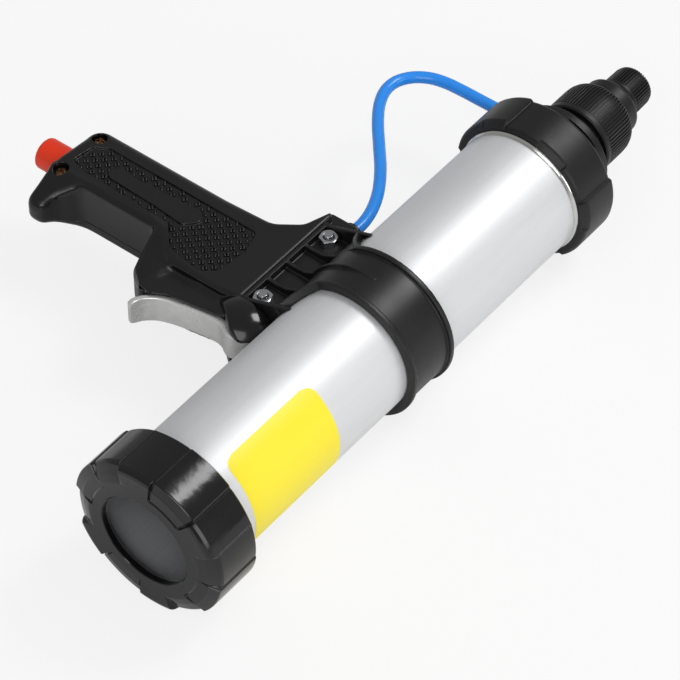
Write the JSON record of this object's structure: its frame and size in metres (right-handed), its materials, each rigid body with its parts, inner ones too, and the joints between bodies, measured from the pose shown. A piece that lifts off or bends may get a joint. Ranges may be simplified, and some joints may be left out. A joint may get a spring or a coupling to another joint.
{
  "type": "pneumatic caulking tool",
  "caption": "Air-powered caulking tool for cartridges: aluminium barrel between screw caps, clamped pistol grip with a trigger valve, and a regulator fed by a blue air hose.",
  "frame": {"origin": "centre of the nozzle hole in the front cap's face", "axes": "+X forward along the barrel, -Y down the handle, +Z to the tool's right side"},
  "size_m": [0.3068, 0.195, 0.068],
  "materials": {
    "black_gloss": "gloss",
    "black_satin": "satin",
    "handle_plastic": "satin",
    "tube_aluminium": "satin",
    "bright_steel": "polished",
    "zinc_steel": "satin",
    "spring_steel": "satin",
    "cast_lever": "satin",
    "brass": "satin",
    "valve_metal": "satin",
    "seal_rubber": "matte",
    "pipe_plastic": "matte",
    "hose_blue": "gloss",
    "plug_red": "gloss"
  },
  "bodies": {
    "body": {"barrel_tube": "tube_aluminium", "tube_collar": "bright_steel", "ring_nut": "black_satin", "end_plug": "black_satin", "plug_o_ring": "seal_rubber", "cartridge_seal": "seal_rubber", "silencer_ring": "black_satin", "union_nut": "black_satin", "bonnet": "black_satin", "diaphragm": "seal_rubber", "regulator_valve": "brass", "regulator_spring": "spring_steel", "clamp": "black_satin", "clamp_bolts": "zinc_steel", "clamp_nuts": "zinc_steel", "handle_body": "handle_plastic", "handle_cover": "handle_plastic", "handle_screws": "brass", "trigger_pin": "zinc_steel", "valve_body": "valve_metal", "stem_seal": "seal_rubber", "valve_spring": "spring_steel", "valve_cap": "brass", "inlet_fitting": "valve_metal", "inlet_pipe": "pipe_plastic", "outlet_pipe": "pipe_plastic", "handle_hose_fitting": "black_satin", "regulator_hose_fitting": "black_satin", "air_hose": "hose_blue"},
    "washer": {"cap_washer": "bright_steel"},
    "cap": {"front_cap": "black_gloss"},
    "knob": {"regulator_knob": "black_satin", "adjuster_screw": "zinc_steel"},
    "seat": {"spring_seat": "brass"},
    "lever": {"trigger": "cast_lever"},
    "stem": {"valve_stem": "valve_metal"},
    "plug": {"inlet_plug": "plug_red"}
  },
  "joints": [
    {"name": "cap_travel", "type": "slide", "parent": "body", "child": "washer", "axis": [1, 0, 0], "range_m": [0, 0.03]},
    {"name": "cap_turn", "type": "hinge", "parent": "washer", "child": "cap", "pos_m": [0, 0, 0], "axis": [1, 0, 0], "range_deg": [0, 2160]},
    {"name": "regulator_turn", "type": "hinge", "parent": "body", "child": "knob", "pos_m": [-0.2929, 0, 0], "axis": [1, 0, 0], "range_deg": [0, 1440]},
    {"name": "spring_seat_travel", "type": "slide", "parent": "body", "child": "seat", "axis": [1, 0, 0], "range_m": [0, 0.005], "deforming": ["regulator_spring"]},
    {"name": "trigger_pull", "type": "hinge", "parent": "body", "child": "lever", "pos_m": [-0.0985, -0.0365, 0], "axis": [0, 0, -1], "range_deg": [0, 8], "stiffness_Nm_per_rad": 1.5, "springref_deg": -2.86},
    {"name": "stem_travel", "type": "slide", "parent": "body", "child": "stem", "axis": [-1, 0, 0], "range_m": [0, 0.00272], "deforming": ["valve_spring"]},
    {"name": "inlet_plug_pull", "type": "slide", "parent": "body", "child": "plug", "axis": [0, -1, 0], "range_m": [0, 0.045]}
  ],
  "couplings": [
    {"joint": "cap_turn", "follows": "cap_travel", "rad_per_m": 1256.6},
    {"joint": "regulator_turn", "follows": "spring_seat_travel", "rad_per_m": 5026.5},
    {"joint": "trigger_pull", "follows": "stem_travel", "rad_per_m": 51.28}
  ]
}
